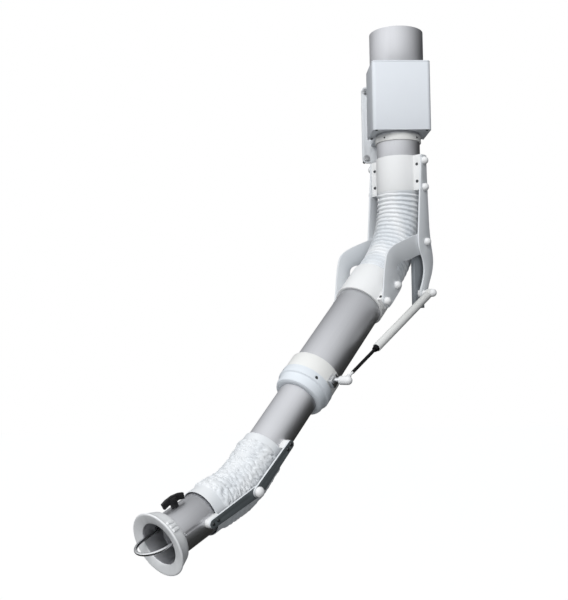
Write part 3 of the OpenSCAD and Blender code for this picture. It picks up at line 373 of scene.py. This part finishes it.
eased("down_tube", "swivel_head", upright_tube, 0.3)
sleeve_white = moulded("sleeve_white", (0.87, 0.87, 0.865), 0.5)
eased("upper_sleeve", "swivel_head", sleeve_white, 0.4)
eased("upper_saddles", "swivel_head", sleeve_white, 0.8)
round_the_collar = [OUT * math.cos(k * math.pi / 2) + RIGHT * math.sin(k * math.pi / 2) for k in range(4)]
COLLAR_SCREW_Z = -65.5
COLLAR_FACE_R = 0.0518
screws("collar_set_screws", "swivel_head", "head_screws",
       [(head_at(0, 0, COLLAR_SCREW_Z) + d * COLLAR_FACE_R, d) for d in round_the_collar], screw_black,
       2.2 * MM, 2.4, 1.5)
saddle_sides, saddle_rows, SADDLE_FACE = (-60, 60), (-170, -130.5), 13
screws("saddle_socket_screws", "swivel_head", None,
       [(head_at(SADDLE_FACE, b, z), OUT) for b in saddle_sides for z in saddle_rows], screw_black, shank=9)

# Upper elbow plates, support bars, bolts and caps
# Two profiled steel plates run down both sides of the elbow, with straight dark bars inside them. Bolts go
# through plate and bar, and white domed caps hide their heads.
eased("upper_plate_right", "swivel_head", plate_coat, 0.8)
eased("upper_plate_left", "swivel_head", plate_coat, 0.8)
eased("support_bars", "swivel_head", powder_coat("bar_coat", (0.26, 0.28, 0.30), 0.5), 0.8)
eased("bolt_spacers", "swivel_head", sleeve_white, 0.2)
painted("head_bolts", bolt_plating)
painted("pivot_bolts", bolt_plating)
painted("pivot_washers", bearing_plastic)
cap_white = moulded("cap_white", (0.90, 0.90, 0.90), 0.25, 300, 0.00001)
eased("upper_caps", "swivel_head", cap_white, 0.4)

# Upper hose
# A hose of coated glass cloth on a spring-steel spiral, so that it bends with the elbow. The cloth sinks
# between the turns of the wire and creases on the inside of the bend; its ends are smooth cuffs.
DIP = math.radians(43)
TUBE_Z = OUT * math.cos(DIP) - UP * math.sin(DIP)
TUBE_X = -OUT * math.sin(DIP) - UP * math.cos(DIP)


def hose_tree():
    """Geometry nodes: a grid rolled into a hose round a bend, with spiral ribs and creased cloth."""
    tree = bpy.data.node_groups.new("spiral_hose", "GeometryNodeTree")
    face = tree.interface
    names = ("First Leg", "Length", "Tangent", "Bend", "First Cuff", "Last Cuff", "Ribs", "Cuff Radius",
             "Crest", "Valley", "Sag", "Crease", "Waver", "Slack", "Seed")
    for name in names:
        face.new_socket(name, in_out="INPUT", socket_type="NodeSocketFloat")
    for name, kind in (("Rings", "Int"), ("Sides", "Int"), ("Material", "Material")):
        face.new_socket(name, in_out="INPUT", socket_type="NodeSocket" + kind)
    face.new_socket("Geometry", in_out="OUTPUT", socket_type="NodeSocketGeometry")
    nodes = Nodes(tree)
    given = tree.nodes.new("NodeGroupInput").outputs
    (leg, length, tangent, bend, cuff_a, cuff_b, ribs, cuff_r, crest, valley, sag, crease, waver, slack, seed,
     rings, sides, material) = (Value(tree, s) for s in given[:18])

    grid = nodes.add("GeometryNodeMeshGrid", {}, {"Size X": 1.0, "Size Y": 1.0, "Vertices X": rings,
                                                  "Vertices Y": sides})
    at = nodes.add("GeometryNodeInputPosition")
    split = nodes.add("ShaderNodeSeparateXYZ", {}, {0: at})
    across = Value(tree, split.socket.node.outputs[1])
    along = (split + 0.5) * length
    share = across + 0.5
    angle = share * (2 * math.pi)
    cosine, sine = angle.math("COSINE"), angle.math("SINE")
    flexing = length - cuff_a - cuff_b
    inside = ((along - cuff_a) / 0.006).limited() * ((length - cuff_b - along) / 0.006).limited()

    def cloth(run, girth, detail, twist=0.0):
        turned_by = angle + along * twist
        where = nodes.add("ShaderNodeCombineXYZ", {}, {
            0: along * run + seed, 1: turned_by.math("COSINE") * girth, 2: turned_by.math("SINE") * girth})
        return nodes.noise(where, 1.0, detail, 0.55)

    def creased(noise, width):
        return (1 - (noise - 0.5).math("ABSOLUTE") * width).limited()

    wander = (cloth(26, 1.6, 2) - 0.5) * waver
    pitch = flexing / (ribs + 0.5)
    phase = (along - cuff_a + wander * pitch) / pitch + share
    rib = (((phase - 0.5) * (2 * math.pi)).math("COSINE") * 0.5 + 0.5).math("POWER", 2.2)
    pinch = 1 + cosine.math("MAXIMUM", 0.0) * 1.1
    folds = creased(cloth(75, 2.6, 1, 14), 5) * 0.6 + creased(cloth(95, 3.4, 0, -11), 5) * 0.4
    ruck = cloth(80, 5.0, 2) - 0.5
    wall = valley + (crest - valley) * rib * (1 - slack * (cloth(30, 2.2, 1) * 1.1).limited())
    loose = crease * inside * pinch * (1 - rib * (0.85 - slack * 0.35))
    creases = ruck * (1.3 - slack) + (folds - 0.35) * (0.3 + slack)
    radius = cuff_r + (wall - cuff_r) * inside + loose * creases
    radius = radius.math("MINIMUM", crest)

    bow = tangent / (bend * 0.5).math("TANGENT")
    arc = bow * bend
    straight = leg - tangent
    turned = ((along - straight) / arc).limited() * bend
    after = (along - straight - arc).math("MAXIMUM", 0.0)
    before = (along - straight).math("MINIMUM", 0.0)
    sink = sag * inside * (((along - cuff_a) / flexing) * math.pi).math("SINE").math("POWER", 2.0)
    turn_cos, turn_sin = turned.math("COSINE"), turned.math("SINE")
    out_x = bow * (1 - turn_cos) + after * turn_sin
    out_z = bow * turn_sin - tangent + after * turn_cos + before
    reach = radius * cosine - sink
    place = nodes.add("ShaderNodeCombineXYZ", {}, {
        0: out_x + reach * turn_cos, 1: radius * sine, 2: out_z - reach * turn_sin})
    rolled = nodes.add("GeometryNodeSetPosition", {}, {"Geometry": grid, "Position": place})
    weave = nodes.add("ShaderNodeCombineXYZ", {}, {0: along, 1: angle * cuff_r, 2: 0.0})
    # The depth below the crests is kept for the cloth's painted shade in the valleys.
    sunk = nodes.add("GeometryNodeStoreNamedAttribute", {"data_type": "FLOAT", "domain": "POINT"},
                     {"Geometry": rolled, "Name": "depth", "Value": (crest - radius) / (crest - valley)})
    kept = nodes.add("GeometryNodeStoreNamedAttribute", {"data_type": "FLOAT_VECTOR", "domain": "POINT"},
                     {"Geometry": sunk, "Name": "cloth", "Value": weave})
    closed = nodes.add("GeometryNodeMergeByDistance", {}, {"Geometry": kept, "Distance": 0.00002})
    smooth = nodes.add("GeometryNodeSetShadeSmooth", {}, {"Geometry": closed, "Shade Smooth": True})
    dressed = nodes.add("GeometryNodeSetMaterial", {}, {"Geometry": smooth, "Material": material})
    tree.links.new(dressed.socket, tree.nodes.new("NodeGroupOutput").inputs[0])
    return tree


def hose_cloth(name, colour, shade):
    """Coated glass cloth: a plain weave under a thin skin, with painted shade that makes it greyer where the
    cloth sinks between the ribs.
    """
    cloth = Finish(name, Roughness=0.55, Sheen_Weight=0.15)
    depth = cloth.add("ShaderNodeAttribute", {"attribute_name": "depth"}, out=2)
    where = cloth.add("ShaderNodeAttribute", {"attribute_name": "cloth"}, out=1)
    parts = cloth.add("ShaderNodeSeparateXYZ", {}, {0: where})
    round_it = Value(cloth.tree, parts.socket.node.outputs[1])
    weave = (parts * 2600).math("SINE") * (round_it * 2600).math("SINE")
    stain = cloth.noise(cloth.place, 30, 4)
    # Painted shade: the colour moves towards the grey shade colour with the depth, plus a random stain tone.
    cloth.set("Base Color", cloth.blend((depth * 0.75 + stain * 0.15).limited(), colour, shade))
    cloth.set("Roughness", weave * 0.05 + stain * 0.1 + 0.5)
    cloth.bump(weave + stain * 2, 0.00005, 0.35)
    return cloth.material


HOSES = hose_tree()
# The second colour is the painted shade of the valleys between the ribs.
white_cloth = hose_cloth("white_cloth", (0.88, 0.885, 0.89), (0.70, 0.73, 0.76))
HOSE_WALL = 1.2 * MM


def hose(name, node, origin, axes, sizes, rings, sides):
    """A hose from its sizes in millimetres, placed in a joint's frame, with a wall and closed ends. Length is
    given for the second leg alone, and the first leg and the arc between the legs are added to it."""
    plain = ("Ribs", "Waver", "Slack", "Seed")
    inputs = {k: v * MM for k, v in sizes.items() if k != "Bend" and k not in plain}
    inputs.update({k: float(sizes[k]) for k in plain})
    inputs.update({"Bend": math.radians(sizes["Bend"]), "Rings": rings, "Sides": sides + 1,
                   "Material": white_cloth})
    bend, tangent = inputs["Bend"], inputs["Tangent"]
    inputs["Length"] += inputs["First Leg"] - 2 * tangent + tangent / math.tan(bend / 2) * bend
    piece = grown(name, bpy.data.meshes.new(name + "_start"), HOSES, inputs)
    shape = bmesh.new()
    shape.from_mesh(piece.data)
    shape.transform(Matrix.Translation(origin) @ Matrix(axes).transposed().to_4x4())
    bmesh.ops.recalc_face_normals(shape, faces=shape.faces)
    shape.to_mesh(piece.data)
    shape.free()
    wall = piece.modifiers.new("wall", "SOLIDIFY")
    wall.thickness, wall.offset = HOSE_WALL, -1
    thick = bpy.data.meshes.new_from_object(piece.evaluated_get(bpy.context.evaluated_depsgraph_get()))
    piece.modifiers.clear()
    piece.data = thick
    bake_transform(piece)
    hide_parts(node)


ELBOW_Z = -309
ELBOW = head_at(0, 0, ELBOW_Z)


def arm_at(along, under=0.0, right=0.0):
    """A point of the arm: along its tubes from the elbow, towards their underside, and right."""
    return ELBOW + (TUBE_Z * along + TUBE_X * under + RIGHT * right) * MM


hose("upper_spiral_hose", "upper_hose", ELBOW, (OUT, -RIGHT, -UP),
     {"First Leg": 154.7, "Length": 149.7, "Tangent": 108, "Bend": 47, "First Cuff": 37.7, "Last Cuff": 15.7,
      "Ribs": 19, "Cuff Radius": 49.95, "Crest": 50.5, "Valley": 45.8, "Sag": 0, "Crease": 2.2, "Waver": 0.35,
      "Slack": 0.15, "Seed": 3}, rings=340, sides=140)

# Forearm plates, sleeve and saddles
# Two curved plates turn on the elbow bolts and end on saddle blocks round a second plastic sleeve, which
# holds the large tube to the hose.
eased("lower_plate_right", "forearm", plate_coat, 0.8)
eased("lower_plate_left", "forearm", plate_coat, 0.8)
eased("lower_sleeve", "forearm", sleeve_white, 0.5)
eased("lower_saddles", "forearm", sleeve_white, 0.8)
painted("arm_bolts", bolt_plating)
eased("lower_caps", "forearm", cap_white, 0.4)


def round_tube(along, radius, degrees):
    """A point on a tube of the arm and the way out from there, by its turn from the underside."""
    out = TUBE_X * math.cos(math.radians(degrees)) + RIGHT * math.sin(math.radians(degrees))
    return arm_at(along) + out * radius * MM, out


arm_sides, arm_rows, ARM_SADDLE_FACE = (-59.5, 59.5), (148, 205), -13
screws("arm_socket_screws", "forearm", "arm_screws",
       [(arm_at(s, ARM_SADDLE_FACE, b), -TUBE_X) for b in arm_sides for s in arm_rows], screw_black, shank=5)
guide_turns, GUIDE_SCREW_ALONG, GUIDE_SCREW_R = (-60, 30, 120, 210), 466.6, 55.3
screws("guide_socket_screws", "forearm", None,
       [round_tube(GUIDE_SCREW_ALONG, GUIDE_SCREW_R, turn) for turn in guide_turns], screw_black,
       3.4 * MM, 1.6, 4)

# Large tube, clamp ring and guide ring
# The large tube is extruded aluminium. A cream ring clamps the gas spring's lug to it, and a cooler white
# ring on its end guides the small tube on a plastic bush.
arm_tube = anodised("arm_tube", TUBE_Z)
eased("outer_tube", "forearm", arm_tube, 0.3)
eased("clamp_ring", "forearm", cream_plastic, 0.6)
ring_white = moulded("ring_white", (0.80, 0.84, 0.88), 0.42)
eased("guide_ring", "forearm", ring_white, 0.3)
painted("guide_bush", screw_black)

# Gas spring and its lug
# The cylinder hangs on the upper plate's bolt and its black rod pushes on a stud of the lug, so that the
# arm stays where it is put. The rod ends in a threaded stem and a white plastic eye.
chrome = plated("chrome", (0.80, 0.81, 0.82), 0.2)
eased("spring_lug", "forearm", chrome, 0.5)
lug_rows, LUG_FACE, LUG_SIDE = (440.5, 447.5), -7, 60
screws("lug_socket_screws", "forearm", "lug_screws",
       [(arm_at(s, LUG_FACE, LUG_SIDE), -TUBE_X) for s in lug_rows], screw_zinc)
eased("spring_cylinder", "spring_cylinder", powder_coat("cylinder_coat", (0.76, 0.76, 0.74), 0.36),
      0.5)
hard_black = Finish("hard_black", Roughness=0.3, Base_Color=(0.006, 0.006, 0.0065, 1),
                    Specular_IOR_Level=0.12)
hard_black.bump(hard_black.noise(hard_black.place, 900, 2), 0.00001, 0.3)
hard_black.set("Roughness", hard_black.noise(hard_black.place, 120, 3) * 0.15 + 0.22)
eased("spring_gland", "spring_cylinder", hard_black.material, 0.5)
eased("spring_rod", "spring_rod", hard_black.material, 0.3)
eased("rod_end", "spring_rod", cap_white, 0.4)

# Small tube
# The small tube slides and turns inside the large one on a wear ring held between two beads, and carries
# the lower joint at its end.
painted("wear_ring", bearing_plastic)
eased("inner_tube", "inner_arm", arm_tube, 0.3)

# Lower joint
# White blocks on both tubes carry flat links that meet at one pin on each side. The links' side faces get
# dark grey painted shade and their edges are left white, and white caps hide the pins.
# Painted shade: this dark grey stands in for the shade on the links' side faces; their edges keep the white
# plate paint.
link_side_shade = powder_coat("link_side_shade", (0.10, 0.115, 0.12), 0.55)
for node, body in (("upper_link_blocks", "inner_arm"), ("lower_link_blocks", "nozzle")):
    eased(node, body, sleeve_white, 1.0)
# Faces of the links that look to either side get the dark painted shade.
for node, body in (("upper_links", "inner_arm"), ("lower_links", "nozzle")):
    eased(node, body, plate_coat, 0.6, link_side_shade, RIGHT)
painted("link_pins", bolt_plating)
eased("link_caps", "inner_arm", cap_white, 0.4)
link_screw_rows, LINK_SCREW_UNDER, LINK_FACE_B = (615, 627.5), 2.3, 58
screws("upper_link_socket_screws", "inner_arm", "upper_link_screws",
       [(arm_at(s, LINK_SCREW_UNDER, side * LINK_FACE_B), RIGHT * side)
        for side in (-1, 1) for s in link_screw_rows], screw_black, shank=10)

# Lower hose
# The same cloth hose in the smaller size. It is slack over the links' joint, so its cloth hangs a little
# and lies in irregular folds across the ribs.
LINK_DIP = math.radians(22)
NOZZLE_Z = OUT * math.cos(LINK_DIP) - UP * math.sin(LINK_DIP)
NOZZLE_X = -OUT * math.sin(LINK_DIP) - UP * math.cos(LINK_DIP)
BEND_ALONG = 722
BEND_AT = arm_at(BEND_ALONG)


def nozzle_at(along, under=0.0, right=0.0):
    """A point of the nozzle: along it from the lower elbow, towards its underside, and right."""
    return BEND_AT + (NOZZLE_Z * along + NOZZLE_X * under + RIGHT * right) * MM


hose("lower_spiral_hose", "lower_hose", BEND_AT, (-TUBE_X, -RIGHT, TUBE_Z),
     {"First Leg": 90.9, "Length": 106.9, "Tangent": 58, "Bend": 21, "First Cuff": 14, "Last Cuff": 22.9,
      "Ribs": 14, "Cuff Radius": 42.9, "Crest": 47, "Valley": 43.8, "Sag": 5, "Crease": 3.2, "Waver": 1.5,
      "Slack": 0.75, "Seed": 11}, rings=300, sides=156)

# Nozzle tube and hood ring
# The last length of tube takes the lower links' blocks and the damper. A moulded hood ring with three
# groups of grip ribs widens its mouth.
nozzle_metal = anodised("nozzle_metal", NOZZLE_Z)
eased("nozzle_tube", "nozzle", nozzle_metal, 0.3)
eased("hood_ring", "nozzle", moulded("hood_white", (0.87, 0.875, 0.88), 0.4), 0.3)
LIFT = math.radians(9)
lifted = [RIGHT * side * math.cos(LIFT) - NOZZLE_X * math.sin(LIFT) for side in (-1, 1)]
nozzle_rows, NOZZLE_FACE_B = (127, 114.5), 54
screws("nozzle_link_screws", "nozzle", "nozzle_screws",
       [(nozzle_at(s, LINK_SCREW_UNDER, side * NOZZLE_FACE_B), RIGHT * side)
        for side in (-1, 1) for s in nozzle_rows], screw_black, 3.2 * MM, 1.4, 10)
HANDLE_SCREW_ALONG = 180
NOZZLE_TUBE_R = 0.0401
screws("handle_socket_screws", "nozzle", None,
       [(nozzle_at(HANDLE_SCREW_ALONG) + d * NOZZLE_TUBE_R, d) for d in lifted], screw_zinc, shank=1.4)

# Handle loop and damper
# A bent stainless rod stands out of the mouth as the handle. A winged black knob on top turns a round
# blade on its shaft across the tube, which sets the flow.
handle_steel = plated("handle_steel", (0.76, 0.77, 0.78), 0.24)
eased("handle_loop", "nozzle", handle_steel, 0.2)
painted("damper_blade", nozzle_metal)
painted("damper_shaft", handle_steel)
eased("damper_knob", "damper", moulded("knob_black", (0.009, 0.009, 0.01), 0.42), 1.0)

# Floor and light
# A pale floor two metres below the bracket, one large soft lamp from the front left and a dim room, so
# that faces turned right and down stay grey. Metal mirrors a light screen on the left instead of the
# lamp, and a dark floor, which gives the tubes their bright side and dark side.
floor_mesh = bpy.data.meshes.new("floor")
FLOOR_HALF, FLOOR_Z = 15, -2
corners = [(x * FLOOR_HALF, y * FLOOR_HALF, FLOOR_Z) for x, y in ((-1, -1), (1, -1), (1, 1), (-1, 1))]
floor_mesh.from_pydata(corners, [], [(0, 1, 2, 3)])
floor = bpy.data.objects.new("floor", floor_mesh)
bpy.context.scene.collection.objects.link(floor)
ground = Finish("ground", Roughness=0.9, Base_Color=(0.3, 0.3, 0.3, 1))
path = ground.add("ShaderNodeLightPath")
white = ground.add("ShaderNodeEmission", {}, {"Color": (1, 1, 1, 1), "Strength": 0.86})
dark = ground.add("ShaderNodeEmission", {}, {"Color": (0.9, 0.88, 0.8, 1), "Strength": 0.03})
matt = Value(ground.tree, ground.shader.outputs[0])
lifted_white = ground.add("ShaderNodeAddShader", {}, {0: white, 1: matt})
mirrors = Value(ground.tree, path.socket.node.outputs["Is Glossy Ray"])
unseen = ground.add("ShaderNodeMixShader", {}, {0: mirrors, 1: matt, 2: dark})
seen = ground.add("ShaderNodeMixShader", {}, {0: path, 1: unseen, 2: lifted_white})
ground.tree.links.new(seen.socket, ground.tree.nodes["Material Output"].inputs[0])
floor_mesh.materials.append(ground.material)

world = bpy.data.worlds.new("room")
world.use_nodes = True
bpy.context.scene.world = world
sky = Nodes(world.node_tree)
world.node_tree.nodes.clear()
ray = sky.add("ShaderNodeLightPath")
way = sky.add("ShaderNodeTexCoord", out=0)
LAMP_WAY = Vector((-0.42, -1.0, 0.7)).normalized()
towards = sky.add("ShaderNodeVectorMath", {"operation": "DOT_PRODUCT"}, {0: way, 1: LAMP_WAY}, 1)
lit = ((towards + 0.45) / 1.3).limited()
ROOM_LIGHT, ROOM_DARK = 0.75, 0.05
room = sky.add("ShaderNodeBackground", {}, {
    "Color": (0.92, 0.96, 1.0, 1), "Strength": lit * lit * ROOM_LIGHT + ROOM_DARK})
backdrop = sky.add("ShaderNodeBackground", {}, {"Color": (1, 1, 1, 1), "Strength": 1.0})
SCREEN_WAY = Vector((-0.58, -0.8, 0.16)).normalized()
screen = sky.add("ShaderNodeVectorMath", {"operation": "DOT_PRODUCT"}, {0: way, 1: SCREEN_WAY}, 1)
glow = (screen * 0.78 + 0.62).math("MAXIMUM", 0.02)
mirrored = sky.add("ShaderNodeBackground", {}, {"Color": (0.97, 0.98, 1.0, 1), "Strength": glow})
glossy = Value(world.node_tree, ray.socket.node.outputs["Is Glossy Ray"])
dim = sky.add("ShaderNodeMixShader", {}, {0: glossy, 1: room, 2: mirrored})
mixed = sky.add("ShaderNodeMixShader", {}, {0: ray, 1: dim, 2: backdrop})
world.node_tree.links.new(mixed.socket, world.node_tree.nodes.new("ShaderNodeOutputWorld").inputs[0])

lamp = bpy.data.objects.new("soft_lamp", bpy.data.lights.new("soft_lamp", "AREA"))
lamp.data.energy = 66
lamp.data.size = 1.6
LAMP_AIM = Vector((-0.3, -0.4, -0.45))
LAMP_FAR = 3.2
lamp.location = LAMP_AIM + LAMP_WAY * LAMP_FAR
lamp.rotation_euler = (-LAMP_WAY).to_track_quat("-Z", "Y").to_euler()
bpy.context.scene.collection.objects.link(lamp)
lamp.visible_glossy = False
bpy.context.scene.view_settings.view_transform = "Standard"
